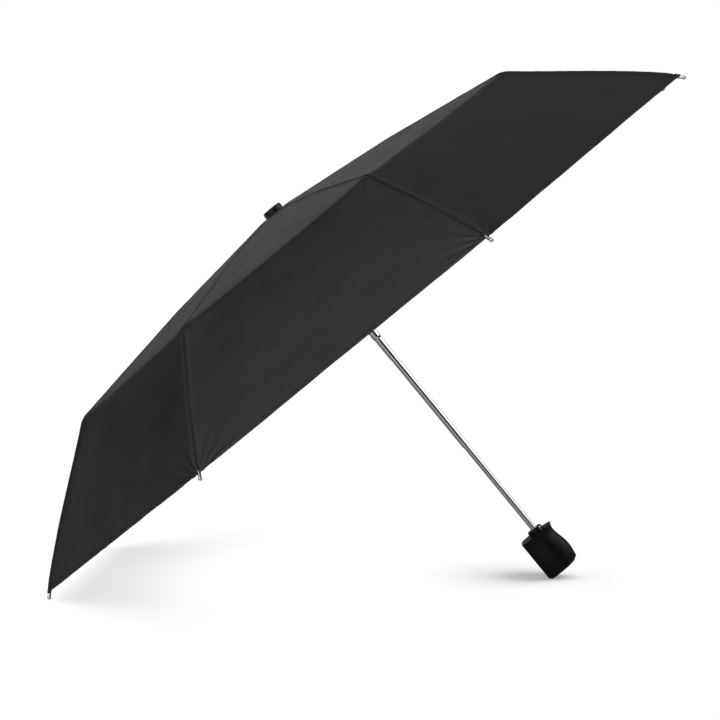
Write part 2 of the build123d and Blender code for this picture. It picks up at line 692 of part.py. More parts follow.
os.makedirs("parts", exist_ok=True)
for name, piece in pieces.items():
    laid = LAID * piece
    laid.label = name
    export_step(laid, f"parts/{name}.step")
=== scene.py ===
import json
import math
import bpy
import numpy as np
from mathutils import Matrix, Vector, noise


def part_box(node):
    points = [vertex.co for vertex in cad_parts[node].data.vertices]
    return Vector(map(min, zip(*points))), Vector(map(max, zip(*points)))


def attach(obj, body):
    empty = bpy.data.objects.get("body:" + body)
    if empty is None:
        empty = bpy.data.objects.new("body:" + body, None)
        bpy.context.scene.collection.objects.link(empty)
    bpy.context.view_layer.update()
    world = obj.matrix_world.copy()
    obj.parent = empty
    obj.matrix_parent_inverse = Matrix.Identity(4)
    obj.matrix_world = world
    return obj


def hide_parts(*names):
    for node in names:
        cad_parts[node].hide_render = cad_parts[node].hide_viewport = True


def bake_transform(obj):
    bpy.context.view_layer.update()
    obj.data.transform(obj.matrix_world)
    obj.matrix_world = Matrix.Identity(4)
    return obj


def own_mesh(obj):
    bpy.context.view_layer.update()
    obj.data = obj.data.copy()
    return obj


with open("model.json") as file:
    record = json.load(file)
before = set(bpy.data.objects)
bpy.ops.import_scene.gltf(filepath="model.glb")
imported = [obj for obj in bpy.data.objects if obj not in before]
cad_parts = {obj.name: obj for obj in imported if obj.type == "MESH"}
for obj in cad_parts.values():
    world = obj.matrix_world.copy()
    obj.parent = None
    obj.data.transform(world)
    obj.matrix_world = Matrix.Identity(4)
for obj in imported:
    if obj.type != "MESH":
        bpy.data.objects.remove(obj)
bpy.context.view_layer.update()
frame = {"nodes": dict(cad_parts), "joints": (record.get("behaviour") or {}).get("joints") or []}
nodes = frame["nodes"]
joints = {j["name"]: j for j in frame["joints"]}

# ------------------------------------------------------------------------
# The umbrella's own frame: UP along the shaft from the handle to the cap, the foot at ORIGIN.
# ------------------------------------------------------------------------
RIBS = 8
PITCH = 2 * math.pi / RIBS
HALF = PITCH / 2
CROWN_PIVOT_Z = 0.521

UP = -np.array(joints["middle_tube_slide"]["axis"], float)
UP /= np.linalg.norm(UP)
SIDE_Y = np.array((0.0, 1.0, 0.0))
SIDE_X = np.cross(SIDE_Y, UP)


def rib_joint(k, link):
    """The joint that turns that link of rib k."""
    name = "canopy_fold" if (k, link) == (1, "top_rib") else f"{link}_{k}_fold"
    return joints[name]


CROWN_PIVOTS = np.array([rib_joint(k, "top_rib")["pos_m"] for k in range(1, RIBS + 1)])
ORIGIN = CROWN_PIVOTS.mean(axis=0) - CROWN_PIVOT_Z * UP


def rib_angle(k):
    return HALF + (k - 1) * PITCH


def outward(angle):
    return math.cos(angle) * SIDE_X + math.sin(angle) * SIDE_Y


def around(angle):
    return -math.sin(angle) * SIDE_X + math.cos(angle) * SIDE_Y


def place(angle, radius, height):
    """A point of the shared frame, told by its place in the half plane at that angle."""
    return ORIGIN + radius * outward(angle) + height * UP


# ------------------------------------------------------------------------
# Camera: a long lens, a little above the floor, looking slightly down and turned a few degrees,
# as in the photo. Its place is told from the point midway between the two tips on the floor.
# ------------------------------------------------------------------------
CAMERA_TURN = math.radians(3.61)
CAMERA_PITCH = math.radians(4.38)
CAMERA_PLACE = (0.328, -2.826, 0.465)
SENSOR_WIDTH = 36
# The focal length over the picture's width
FOCAL_RATIO = 2443 / 720
FARTHEST_SEEN = 50


def middle(node):
    low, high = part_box(node)
    return (low + high) / 2


def make_camera():
    between_tips = (middle("rib_tip_4") + middle("rib_tip_5")) / 2
    between_tips.z = 0
    turn = Matrix.Rotation(CAMERA_TURN, 3, "Z")
    right = turn @ Vector((1, 0, 0))
    forward = turn @ Vector((0, math.cos(CAMERA_PITCH), -math.sin(CAMERA_PITCH)))
    data = bpy.data.cameras.new("camera")
    data.sensor_width = SENSOR_WIDTH
    data.lens = SENSOR_WIDTH * FOCAL_RATIO
    data.clip_end = FARTHEST_SEEN
    camera = bpy.data.objects.new("camera", data)
    rotation = Matrix((right, right.cross(forward), -forward)).transposed()
    eye = between_tips + turn @ Vector(CAMERA_PLACE)
    camera.matrix_world = Matrix.Translation(eye) @ rotation.to_4x4()
    bpy.context.scene.collection.objects.link(camera)
    bpy.context.scene.camera = camera


make_camera()


# ------------------------------------------------------------------------
# Materials
# ------------------------------------------------------------------------
def add_node(tree, kind, inputs=(), **settings):
    """Adds a shader node. Each input is given as a value, or as the output that feeds it."""
    made = tree.nodes.new("ShaderNode" + kind)
    for key, value in settings.items():
        setattr(made, key, value)
    for key, value in dict(inputs).items():
        if hasattr(value, "is_linked"):
            tree.links.new(value, made.inputs[key])
        else:
            made.inputs[key].default_value = value
    return made


class Nodes:
    """A short way to write a node tree that ends in one Principled shader."""

    def __init__(self, name, **settings):
        self.material = bpy.data.materials.new(name)
        self.material.use_nodes = True
        self.tree = self.material.node_tree
        self.shader = self.tree.nodes["Principled BSDF"]
        for key, value in settings.items():
            socket = key.replace("_", " ").title().replace("Ior", "IOR")
            self.shader.inputs[socket].default_value = value

    def node(self, kind, inputs=(), **settings):
        return add_node(self.tree, kind, inputs, **settings)

    def coordinates(self, kind="Object", scale=(1, 1, 1), rotation=(0, 0, 0)):
        source = self.node("TexCoord").outputs[kind]
        return self.node(
            "Mapping", {"Vector": source, "Scale": scale, "Rotation": rotation}
        ).outputs["Vector"]

    def noise(self, vector, scale, detail=2.0, roughness=0.5):
        return self.node(
            "TexNoise",
            {"Vector": vector, "Scale": scale, "Detail": detail, "Roughness": roughness},
        ).outputs["Fac"]

    def math(self, operation, a, b=0.0, clamp=False):
        return self.node("Math", {0: a, 1: b}, operation=operation, use_clamp=clamp).outputs[0]

    def plus(self, a, b, share):
        """a + share * b"""
        return self.math("ADD", a, self.math("MULTIPLY", b, share))

    def ramp(self, value, low, high, to_low, to_high):
        ends = {"From Min": low, "From Max": high, "To Min": to_low, "To Max": to_high}
        return self.node("MapRange", {"Value": value, **ends}).outputs["Result"]

    def mix(self, factor, a, b):
        # Of the Mix node's sockets, 6 and 7 are the colours, and output 2 is the mixed colour.
        return self.node("Mix", {0: factor, 6: a, 7: b}, data_type="RGBA").outputs[2]

    def to(self, socket, output):
        self.tree.links.new(output, self.shader.inputs[socket])

    def bump(self, *layers):
        """Layers of (height, strength, distance), the last one finest."""
        normal = None
        for height, strength, distance in layers:
            inputs = {"Height": height, "Strength": strength, "Distance": distance}
            if normal is not None:
                inputs["Normal"] = normal
            normal = self.node("Bump", inputs).outputs["Normal"]
        self.to("Normal", normal)


def grey(value):
    return (value, value, value, 1.0)


def woven(name, dark, light, threads=2400.0, weave=0.12):
    """Plain-weave polyester with that many threads to the metre: warp and weft, uneven yarns, soft
    creases and a faint bloom."""
    m = Nodes(name, sheen_weight=0.03, sheen_roughness=0.4, specular_ior_level=0.4)
    m.shader.inputs["Sheen Tint"].default_value = (0.9, 0.9, 1.0, 1)
    cloth = m.coordinates("UV")
    yarns = m.node("SeparateXYZ", {"Vector": cloth}).outputs
    warp = m.math("SINE", m.math("MULTIPLY", yarns["X"], threads * math.pi))
    weft = m.math("SINE", m.math("MULTIPLY", yarns["Y"], threads * math.pi))
    over = m.ramp(m.math("MULTIPLY", warp, weft), -1, 1, 0, 1)
    slub = m.noise(m.coordinates("UV", (40, 900, 1)), 1.0, 2)
    slub_across = m.noise(m.coordinates("UV", (900, 40, 1)), 1.0, 2)
    mottle = m.noise(cloth, 22.0, 4, 0.6)
    fine = m.noise(cloth, 160.0, 3, 0.55)
    cells = {"Vector": m.coordinates("UV", (1, 0.6, 1)), "Scale": 34.0}
    crumple = m.node("TexVoronoi", cells, feature="SMOOTH_F1").outputs["Distance"]
    tone = m.plus(m.math("MULTIPLY", mottle, 0.55), fine, 0.25)
    tone = m.plus(tone, over, 0.2)
    m.to("Base Color", m.mix(m.ramp(tone, 0.3, 0.7, 0, 1), dark, light))
    m.to("Roughness", m.ramp(m.plus(mottle, fine, 0.5), 0.45, 1.05, 0.37, 0.49))
    threads_height = m.plus(over, m.math("ADD", slub, slub_across), 0.4)
    m.bump(
        (m.math("ADD", crumple, mottle), 0.18, 0.0016),
        (fine, 0.16, 0.0006),
        (threads_height, weave, 0.0003),
    )
    return m.material


def thread(name):
    """Twisted sewing thread."""
    m = Nodes(name, sheen_weight=0.2, specular_ior_level=0.4)
    slanted = m.coordinates("UV", (1, 1, 1), (0, 0, 0.9))
    twist = m.node("TexWave", {"Vector": slanted, "Scale": 900.0}).outputs["Fac"]
    m.to("Base Color", m.mix(twist, (0.014, 0.014, 0.016, 1), (0.05, 0.05, 0.056, 1)))
    m.to("Roughness", m.ramp(twist, 0, 1, 0.5, 0.75))
    m.bump((twist, 0.5, 0.0002))
    return m.material


# How far the shaft leans, so that the marks on its tubes run along them
LEAN = math.atan2(-UP[0], UP[2])


def drawn_metal(name, base, dull, rough_low, rough_high, streak=0.06):
    """Drawn or polished metal: fine marks along its length, faint handling marks across."""
    m = Nodes(name, metallic=1.0)
    where = m.node("TexCoord").outputs["Object"]
    turned = {"Vector": where, "Axis": (0, 1, 0), "Angle": LEAN}
    upright = m.node("VectorRotate", turned, rotation_type="AXIS_ANGLE").outputs["Vector"]

    def marks(scale):
        stretched = m.node("Mapping", {"Vector": upright, "Scale": scale}).outputs["Vector"]
        return m.noise(stretched, 1.0, 3)

    drawn = marks((2600, 2600, 18))
    rubbed = marks((90, 90, 320))
    cloud = m.noise(where, 60.0, 3, 0.6)
    m.to("Base Color", m.mix(m.ramp(m.plus(cloud, drawn, 0.4), 0.5, 0.95, 0, 1), base, dull))
    m.to("Roughness", m.ramp(m.plus(cloud, rubbed, 0.6), 0.5, 1.1, rough_low, rough_high))
    m.bump((rubbed, 0.05, 0.0002), (drawn, streak, 0.0001))
    return m.material


def lacquered(name, base, worn, roughness=0.38):
    """Thin lacquer on pressed metal, rubbed through a little on its edges."""
    m = Nodes(name, specular_ior_level=0.45)
    where = m.coordinates("Object")
    peel = m.noise(where, 900.0, 2)
    patches = m.noise(where, 120.0, 4, 0.65)
    edge = m.ramp(m.node("NewGeometry").outputs["Pointiness"], 0.53, 0.62, 0, 1)
    wear = m.math("MULTIPLY", edge, m.ramp(patches, 0.5, 0.7, 0, 0.7), clamp=True)
    m.to("Base Color", m.mix(wear, base, worn))
    m.to("Roughness", m.ramp(patches, 0.3, 0.7, roughness - 0.07, roughness + 0.12))
    m.bump((patches, 0.08, 0.0005), (peel, 0.1, 0.0002))
    return m.material


def moulded(name, base, paler, rough_low, rough_high, grain=0.12, grain_scale=1500.0, gloss=0.35):
    """Moulded or soft-coated plastic: fine grain, slight flow marks, handling polish."""
    m = Nodes(name, specular_ior_level=gloss)
    where = m.coordinates("Object")
    pores = m.noise(where, grain_scale, 3, 0.6)
    flow = m.noise(m.coordinates("Object", (1, 1, 3)), 28.0, 4, 0.6)
    handled = m.noise(where, 70.0, 5, 0.65)
    edge = m.ramp(m.node("NewGeometry").outputs["Pointiness"], 0.52, 0.6, 0, 0.5)
    worn = m.math("ADD", m.math("MULTIPLY", flow, 0.6), edge, clamp=True)
    m.to("Base Color", m.mix(worn, base, paler))
    dull = m.math("SUBTRACT", handled, m.math("MULTIPLY", edge, 0.3))
    m.to("Roughness", m.ramp(dull, 0.3, 0.7, rough_low, rough_high))
    m.bump((flow, 0.05, 0.0008), (handled, 0.04, 0.0003), (pores, grain, 0.00015))
    return m.material


FABRIC = woven("pongee", (0.0098, 0.0088, 0.0100, 1), (0.0168, 0.0151, 0.0172, 1))
WEBBING = woven("webbing", (0.018, 0.018, 0.02, 1), (0.04, 0.04, 0.043, 1), 1300.0, 0.4)
THREAD = thread("sewing_thread")
FINISHES = {
    "soft_touch_black": moulded(
        "soft_touch", (0.0035, 0.0035, 0.004, 1), (0.007, 0.007, 0.008, 1), 0.38, 0.5, 0.14, 1700.0, 0.2
    ),
    "black_plastic": moulded(
        "satin_plastic", (0.005, 0.005, 0.0055, 1), (0.011, 0.011, 0.0115, 1), 0.26, 0.4
    ),
    "red_accent": moulded("red_plastic", (0.42, 0.012, 0.014, 1), (0.58, 0.03, 0.03, 1), 0.3, 0.42),
    "chromed_tube": drawn_metal("chrome", (0.86, 0.86, 0.92, 1), (0.74, 0.74, 0.8, 1), 0.04, 0.1),
    "steel": drawn_metal("spring_steel", (0.56, 0.56, 0.57, 1), (0.4, 0.4, 0.41, 1), 0.22, 0.38),
    "bright_metal": drawn_metal("nickel", (0.8, 0.79, 0.77, 1), (0.66, 0.65, 0.63, 1), 0.1, 0.22),
    "rib_steel": lacquered("lacquered_steel", (0.02, 0.02, 0.022, 1), (0.2, 0.2, 0.21, 1)),
    "rib_aluminium": drawn_metal(
        "anodised", (0.36, 0.36, 0.38, 1), (0.26, 0.26, 0.28, 1), 0.3, 0.46, 0.12
    ),
    "rib_fibreglass": lacquered("resin_rod", (0.016, 0.016, 0.017, 1), (0.05, 0.05, 0.05, 1), 0.3),
    "black_fabric": FABRIC,
}


def dress_cad_nodes():
    """Every CAD node takes the finish of its record slot."""
    for name, node in nodes.items():
        slots = [m.name.split(".")[0] for m in node.data.materials]
        node.data.materials.clear()
        for slot in slots:
            node.data.materials.append(FINISHES[slot])


dress_cad_nodes()


# ------------------------------------------------------------------------
# Mesh helpers
# ------------------------------------------------------------------------
# One sewing stitch: how often it comes, its length and width, and its rise above the cloth
STITCH_PITCH = 0.0032
STITCH_LENGTH = 0.0023
STITCH_WIDTH = 0.00038
STITCH_RISE = 0.00002
# The rings of a stitch: where along its length each one is, and its share of the full width
STITCH_PLACES = np.array((-0.5, -0.36, 0.0, 0.36, 0.5))
STITCH_SIZES = np.array((0.35, 0.85, 1.0, 0.85, 0.35))
STITCH_TURNS = np.radians((0, 60, 120, 180))


def unit(vectors):
    return vectors / np.linalg.norm(vectors, axis=-1)[..., None]


def gaps(line):
    """The distances from each point of a line to the next."""
    return np.linalg.norm(np.diff(line, axis=0), axis=1)


def run_along(line):
    """How far along a line each of its points is."""
    return np.concatenate([[0], np.cumsum(gaps(line))])


def value_at(where, along, values):
    """What the rows of values, which stand at the distances along, are at other distances."""
    return np.stack([np.interp(where, along, column) for column in values.T], axis=-1)


def cut_off(values, start, end):
    """A grid of values with the rows before start and after end brought to them, column by column."""
    rows = np.clip(np.arange(len(values))[:, None], start, end)
    low = np.minimum(np.floor(rows).astype(int), len(values) - 2)
    share = (rows - low)[..., None]
    columns = np.arange(values.shape[1])
    return values[low, columns] * (1 - share) + values[low + 1, columns] * share


class Sewing:
    """Collects vertices, faces, normals and flat-cloth coordinates for one piece."""

    def __init__(self):
        self.points, self.normals, self.faces, self.flats, self.kinds = [], [], [], [], []

    def grid(self, points, normals, flats, kind=0, flip=False, start=None, end=None):
        """Adds a grid of points. Each column may be cut off at a start and an end row of its own."""
        rows, columns = points.shape[:2]
        first = sum(len(p) for p in self.points)
        index = np.arange(rows * columns).reshape(rows, columns)
        if start is not None:
            kept = np.clip(np.arange(rows)[:, None], np.floor(start), np.ceil(end)).astype(int)
            points, normals, flats = (cut_off(values, start, end) for values in (points, normals, flats))
            index = kept * columns + np.arange(columns)
        quads = np.stack([index[:-1, :-1], index[1:, :-1], index[1:, 1:], index[:-1, 1:]], axis=-1)
        quads = quads.reshape(-1, 4)
        quads = quads[(quads[:, 0] != quads[:, 1]) | (quads[:, 2] != quads[:, 3])]
        used, quads = np.unique(quads, return_inverse=True)
        quads = quads.reshape(-1, 4) + first
        self.points.append(points.reshape(-1, 3)[used])
        self.normals.append(normals.reshape(-1, 3)[used])
        self.flats.append(flats.reshape(-1, 2)[used])
        self.faces.append(quads[:, ::-1] if flip else quads)
        self.kinds.append(np.full(len(quads), kind))

    def stitches(self, line, up, flats):
        """Short rounded stitches along a line, standing a little proud of the cloth."""
        along = run_along(line)
        for centre in np.arange(STITCH_PITCH, along[-1] - STITCH_PITCH, STITCH_PITCH):
            rings = centre + STITCH_PLACES * STITCH_LENGTH
            mid, top, flat = (value_at(rings, along, values)[:, None] for values in (line, up, flats))
            side = unit(np.cross(unit(np.gradient(mid, axis=0)), top))
            round_it = STITCH_TURNS[:, None]
            direction = np.cos(round_it) * side + np.sin(round_it) * top
            bulge = direction * STITCH_WIDTH * STITCH_SIZES[:, None, None] * 0.5
            flat = np.repeat(flat, len(STITCH_TURNS), axis=1)
            self.grid(mid + top * STITCH_RISE + bulge, direction, flat, kind=1, flip=True)

    def piece(self, name, materials):
        mesh = bpy.data.meshes.new(name)
        points = np.concatenate(self.points)
        faces = [list(dict.fromkeys(face)) for face in np.concatenate(self.faces).tolist()]
        mesh.from_pydata(points.tolist(), [], faces)
        mesh.polygons.foreach_set("material_index", np.concatenate(self.kinds).astype(np.int32))
        mesh.polygons.foreach_set("use_smooth", np.ones(len(faces), bool))
        layer = mesh.uv_layers.new(name="flat_cloth")
        corners = np.zeros(len(mesh.loops), np.int32)
        mesh.loops.foreach_get("vertex_index", corners)
        layer.data.foreach_set("uv", np.concatenate(self.flats)[corners].astype(np.float32).ravel())
        normals = np.concatenate(self.normals)
        normals = normals / np.maximum(np.linalg.norm(normals, axis=1)[:, None], 1e-9)
        mesh.normals_split_custom_set_from_vertices(normals.tolist())
        for material in materials:
            mesh.materials.append(material)
        made = bpy.data.objects.new(name, mesh)
        bpy.context.scene.collection.objects.link(made)
        return made


def bell(distance, width):
    return np.exp(-((distance / width) ** 2))


def smoothstep(value, low, high):
    t = np.clip((value - low) / (high - low), 0, 1)
    return t * t * (3 - 2 * t)


# ------------------------------------------------------------------------
# The canopy's line over a rib, read from the CAD canopy: (radius, height), crown to hem
# ------------------------------------------------------------------------
# A vertex of the CAD canopy is over the rib when it's this close in angle (radians), and two of
# them are at one place of its line when their radii are this close
ON_RIB = 0.004
SAME_PLACE = 0.003


def how_far_out(place_on_line):
    """Tells the cloth's outer face from its inner one."""
    radius, height = place_on_line
    return radius * 0.5 + height


def cad_rib_line():
    found = {}
    for vertex in nodes["canopy"].data.vertices:
        d = np.array(vertex.co) - ORIGIN
        x, y, height = d @ SIDE_X, d @ SIDE_Y, d @ UP
        if abs(math.atan2(y, x) - HALF) < ON_RIB:
            here = (math.hypot(x, y), height)
            group = round(here[0] / SAME_PLACE)
            best = next((g for g in (group, group - 1, group + 1) if g in found), group)
            if best not in found or how_far_out(here) > how_far_out(found[best]):
                found[best] = here
    return np.array(sorted(found.values()))


RIB_LINE = cad_rib_line()
# The number of the knee's point on that line
KNEE = 2
HOLE_RADIUS = 0.0028
CLAMP_RADIUS = 0.0125
SKIRT_RADIUS = 0.027
HEM_TURN = 0.0075
ROWS_PER_HEM = 5
# (first, last, most) step between the rows of each portion of a gore, and between its columns
SKIRT_STEPS = (0.003, 0.003, 0.003)
TOP_STEPS = (0.003, 0.004, 0.0065)
MIDDLE_STEPS = (0.004, 0.0015, 0.0065)
OUTER_STEPS = (0.0015, 0.002, 0.006)
COLUMN_STEPS = (0.001, 0.0075, 0.0085)
STEP_GROWTH = 1.25
# Tight cloth rounds the knee: how far along the rib, and by how much inwards and down
KNEE_REACH = 0.0022
KNEE_DROP, KNEE_INWARDS, KNEE_DOWN = 0.0009, 0.4, 0.9


def spaced(start, end, first, last, most):
    """Stations from start to end whose steps grow from first, and shrink to last, up to most."""
    ahead, back = [start], [end]
    step_ahead, step_back = first, last
    while back[-1] - ahead[-1] > step_ahead + step_back:
        if step_ahead <= step_back:
            ahead.append(ahead[-1] + step_ahead)
            step_ahead = min(step_ahead * STEP_GROWTH, most)
        else:
            back.append(back[-1] - step_back)
            step_back = min(step_back * STEP_GROWTH, most)
    return ahead + back[::-1]


def rib_profile():
    """The rows of a gore over its rib as (radius, height), how far along the rib each one is, and
    the last row of each portion."""
    bow = RIB_LINE[KNEE:]
    runs = run_along(bow)
    smooth = [np.polyfit(runs, bow[:, c], 3) for c in (0, 1)]
    top = np.array([(HOLE_RADIUS, RIB_LINE[0, 1]), *RIB_LINE[: KNEE + 1]])
    edges = run_along(top)
    skirt, first, knee = SKIRT_RADIUS - HOLE_RADIUS, edges[2], edges[3]
    hem_rows = runs[-1] - np.linspace(HEM_TURN, 0, ROWS_PER_HEM + 1)
    stations = spaced(0, skirt, *SKIRT_STEPS)
    marks = {"skirt": len(stations) - 1}
    stations += spaced(skirt, first, *TOP_STEPS)[1:]
    marks["first"] = len(stations) - 1
    stations += spaced(first, knee, *MIDDLE_STEPS)[1:]
    marks["knee"] = len(stations) - 1
    stations += [knee + s for s in spaced(0, hem_rows[0], *OUTER_STEPS)[1:]]
    stations += [knee + s for s in hem_rows[1:]]
    marks["hem"] = len(stations) - 1
    rows = []
    for s in stations:
        if s <= knee:
            rows.append([np.interp(s, edges, top[:, c]) for c in (0, 1)])
        else:
            rows.append([np.polyval(fit, s - knee) for fit in smooth])
    rows, stations = np.array(rows), np.array(stations)
    drop = KNEE_DROP * bell(stations - knee, KNEE_REACH)
    rows[:, 0] -= drop * KNEE_INWARDS
    rows[:, 1] -= drop * KNEE_DOWN
    return rows, stations, marks


PROFILE, RUN, MARKS = rib_profile()
CLAMPED = PROFILE[:, 0] <= CLAMP_RADIUS + 1e-6
HALF_HEM = PROFILE[-1, 0] * math.sin(HALF)
ACROSS = np.array(spaced(0, HALF_HEM, *COLUMN_STEPS)) / HALF_HEM


# ------------------------------------------------------------------------
# Half a gore as a stretched skin: cloth pulled from rib to rib and, more gently, crown to hem,
# with the hem as a cord and a tight band at the knees. Solved for rest by the force density
# method, in gore coordinates (away from the middle, out from the shaft, height).
# ------------------------------------------------------------------------
PULL_ACROSS = 1.0
PULL_ALONG = 0.04
HEM_PULL = 1.1
CREASE_PULL = 0.1
CREASE_REACH = 0.003
SOLVING_ROUNDS = 3


def stretched_half_gore():
    rows, columns = len(RUN), len(ACROSS)
    radius, height = PROFILE.T
    rib = np.stack([radius * math.sin(HALF), radius * math.cos(HALF), height], axis=-1)
    centre = rib * np.array((0, 1, 1))
    share = ACROSS[None, :, None]
    points = rib[:, None, :] * (1 - share) + centre[:, None, :] * share
    fixed = np.zeros((rows, columns), bool)
    fixed[CLAMPED] = True
    fixed[:, 0] = True
    count = (~fixed).sum()
    index = -np.ones((rows, columns), int)
    index[~fixed] = np.arange(count)
    # The knees poke outwards, so the cloth is tightest in a narrow band from knee to knee.
    crease = bell(RUN - RUN[MARKS["knee"]], CREASE_REACH)
    crease *= CREASE_PULL / crease.sum()
    for _ in range(SOLVING_ROUNDS):
        along = np.linalg.norm(np.diff(points, axis=0), axis=-1)
        across = np.linalg.norm(np.diff(points, axis=1), axis=-1)
        height = np.zeros((rows, columns))
        height[:-1] += along / 2
        height[1:] += along / 2
        width = np.zeros((rows, columns))
        width[:, :-1] += across / 2
        width[:, 1:] += across / 2
        matrix = np.zeros((count, count))
        right = np.zeros((count, 3))

        def join(a, b, q):
            """The pull of node b on node a."""
            i = index[a]
            if i < 0:
                return
            matrix[i, i] += q
            if index[b] < 0:
                right[i] += q * points[b]
            else:
                matrix[i, index[b]] -= q

        for r in range(rows):
            for c in range(columns):
                if c + 1 < columns:
                    q = PULL_ACROSS * (height[r, c] + height[r, c + 1]) / 2 / across[r, c]
                    q += crease[r] / across[r, c]
                    if r == rows - 1:
                        q += HEM_PULL / across[r, c]
                    join((r, c), (r, c + 1), q)
                    join((r, c + 1), (r, c), q)
                    if c + 1 == columns - 1:
                        join((r, c + 1), (r, c), q)
                if r + 1 < rows:
                    mirror = 2 if c == columns - 1 else 1
                    q = PULL_ALONG * mirror * (width[r, c] + width[r + 1, c]) / 2 / along[r, c]
                    join((r, c), (r + 1, c), q)
                    join((r + 1, c), (r, c), q)
        solved = np.linalg.solve(matrix, right)
        # The gore's middle is its plane of symmetry, so its nodes don't move sideways.
        sideways = matrix.copy()
        on_middle = index[:, -1][index[:, -1] >= 0]
        sideways[on_middle] = 0
        sideways[on_middle, on_middle] = 1
        right[on_middle, 0] = 0
        solved[:, 0] = np.linalg.solve(sideways, right[:, 0])
        points = points.copy()
        points[~fixed] = solved
    return points


HALF_GORE = stretched_half_gore()

# (height, seed, size) of the soft unevenness of the cloth between its seams
UNEVEN = ((0.00042, 1, 0.045), (0.00022, 21, 0.016))
# The gathers at the sewn corners, the strains at the knees, the puckers beside the seams and the
# ripples of the hem: their heights, how far they reach, and their sizes or rates
CORNER_FAN, CORNER_REACH, CORNER_INSET, CORNER_RATES = 0.001, 0.021, 0.002, (15, 27)
KNEE_FAN, KNEE_FAN_REACH, KNEE_RATE = 0.00045, 0.022, 9
PUCKER, PUCKER_REACH, PUCKER_SIZE = 0.0003, 0.007, 0.0065
RIPPLE, RIPPLE_REACH, RIPPLE_SIZE = 0.00035, 0.011, 0.008
# Below the knees the taut cloth rounds outwards
BULGE, BULGE_RUN = 0.0022, 0.14
# (depth, distance from the seam, width) of the valley at a seam and of the shoulder beside it
VALLEY = (0.0015, 0.0, 0.0013)
SHOULDER = (0.0007, 0.0026, 0.0017)
# The groove under the hem's stitches
GROOVE, GROOVE_WIDTH = 0.00018, 0.0009


def wander(x, y, seed, size):
    """Smooth noise from -1 to 1, with features of about that size."""
    flat_x, flat_y = np.ravel(x) / size, np.ravel(y) / size
    values = [noise.noise((a, b, seed * 7.31)) for a, b in zip(flat_x, flat_y)]
    return np.array(values).reshape(np.shape(x))


def surface_normals(points):
    """Outward normals of a grid whose rows run down to the hem and whose columns run along +angle."""
    down = np.gradient(points, axis=0)
    over = np.gradient(points, axis=1)
    found = np.cross(over, down)
    return found / np.maximum(np.linalg.norm(found, axis=-1), 1e-12)[..., None]


def gore(g):
    """The whole gore whose middle is at angle g * PITCH: points, normals and flat coordinates."""
    left = HALF_GORE * np.array((-1, 1, 1))
    whole = np.concatenate([left, HALF_GORE[:, -2::-1]], axis=1)
    sideways = whole[:, :, 0]
    rib_place = np.abs(sideways[:, :1])
    edge = rib_place - np.abs(sideways)
    run = np.repeat(RUN[:, None], whole.shape[1], axis=1)
    to_hem = RUN[-1] - run
    knee_run = run - RUN[MARKS["knee"]]
    skirt_run = run - RUN[MARKS["skirt"]]
    base_normals = surface_normals(whole)
    free = smoothstep(edge, 0.0, 0.012) * smoothstep(skirt_run, -0.012, 0.03)
    lift = sum(height * wander(sideways, run, g + seed, size) * free for height, seed, size in UNEVEN)
    for side in (-1, 1):
        from_rib = np.abs(sideways - side * rib_place)
        # Gathers that fan out from the sewn corner at the rib tip.
        reach = np.hypot(from_rib, to_hem + CORNER_INSET)
        turn = np.arctan2(from_rib, to_hem + CORNER_INSET)
        phase = wander(np.array([g * 1.7 + side]), np.array([0.3]), 3, 1.0)[0] * 2
        fan = np.sin(turn * CORNER_RATES[0] + phase) + 0.5 * np.sin(turn * CORNER_RATES[1] - phase)
        fan *= smoothstep(reach, 0.001, 0.01) * smoothstep(turn, 0, 0.12)
        lift += CORNER_FAN * fan * np.exp(-reach / CORNER_REACH)
        # Small strains that fan out from the knee.
        reach = np.hypot(from_rib, knee_run)
        turn = np.arctan2(knee_run, from_rib)
        fan = np.sin(turn * KNEE_RATE + phase) * smoothstep(from_rib, 0.0, 0.008)
        lift += KNEE_FAN * fan * np.exp(-reach / KNEE_FAN_REACH)
        # Stitching draws the cloth in beside the seam.
        pucker = wander(run, np.full_like(run, g * 3.0 + side), 5, PUCKER_SIZE)
        pucker *= smoothstep(from_rib, 0.0006, 0.003)
        lift += PUCKER * pucker * np.exp(-from_rib / PUCKER_REACH)
    ripple = wander(sideways, np.full_like(run, g * 2.0), 9, RIPPLE_SIZE)
    lift += RIPPLE * ripple * np.exp(-to_hem / RIPPLE_REACH) * smoothstep(edge, 0, 0.02)
    # The rounding below the knees is greatest in the gore's middle.
    below = np.clip(knee_run / BULGE_RUN, 0, 1)
    lift += BULGE * np.sin(below * math.pi) * smoothstep(edge, 0.005, 0.09)
    lift *= np.where(CLAMPED, 0, 1)[:, None]
    whole = whole + base_normals * lift[..., None]
    # The seam over each rib lies in a narrow valley.
    slope = unit(np.gradient(PROFILE, axis=0))
    rib_up = np.stack([np.zeros(len(RUN)), -slope[:, 1], slope[:, 0]], axis=-1)
    valley, shoulder = (
        depth * bell(edge - distance, width) for depth, distance, width in (VALLEY, SHOULDER)
    )
    valley -= shoulder
    valley *= smoothstep(run, 0.01, 0.02) * (1 + 0.5 * smoothstep(knee_run, 0.0, 0.01))
    whole = whole - rib_up[:, None, :] * valley[..., None]
    groove = GROOVE * bell(to_hem - HEM_TURN * 0.8, GROOVE_WIDTH)
    whole = whole - base_normals * groove[..., None]
    normals = surface_normals(whole)
    basis = np.stack([around(g * PITCH), outward(g * PITCH), UP])
    flats = np.stack([sideways + g * 0.4, run], axis=-1)
    return whole @ basis + ORIGIN, normals @ basis, flats


GORES = [gore(g) for g in range(RIBS)]
MIDDLE = len(ACROSS) - 1
PORTIONS = (
    ("top", "top_rib", "skirt", "first"),
    ("middle", "middle_rib", "first", "knee"),
    ("outer", "outer_rib", "knee", "hem"),
)
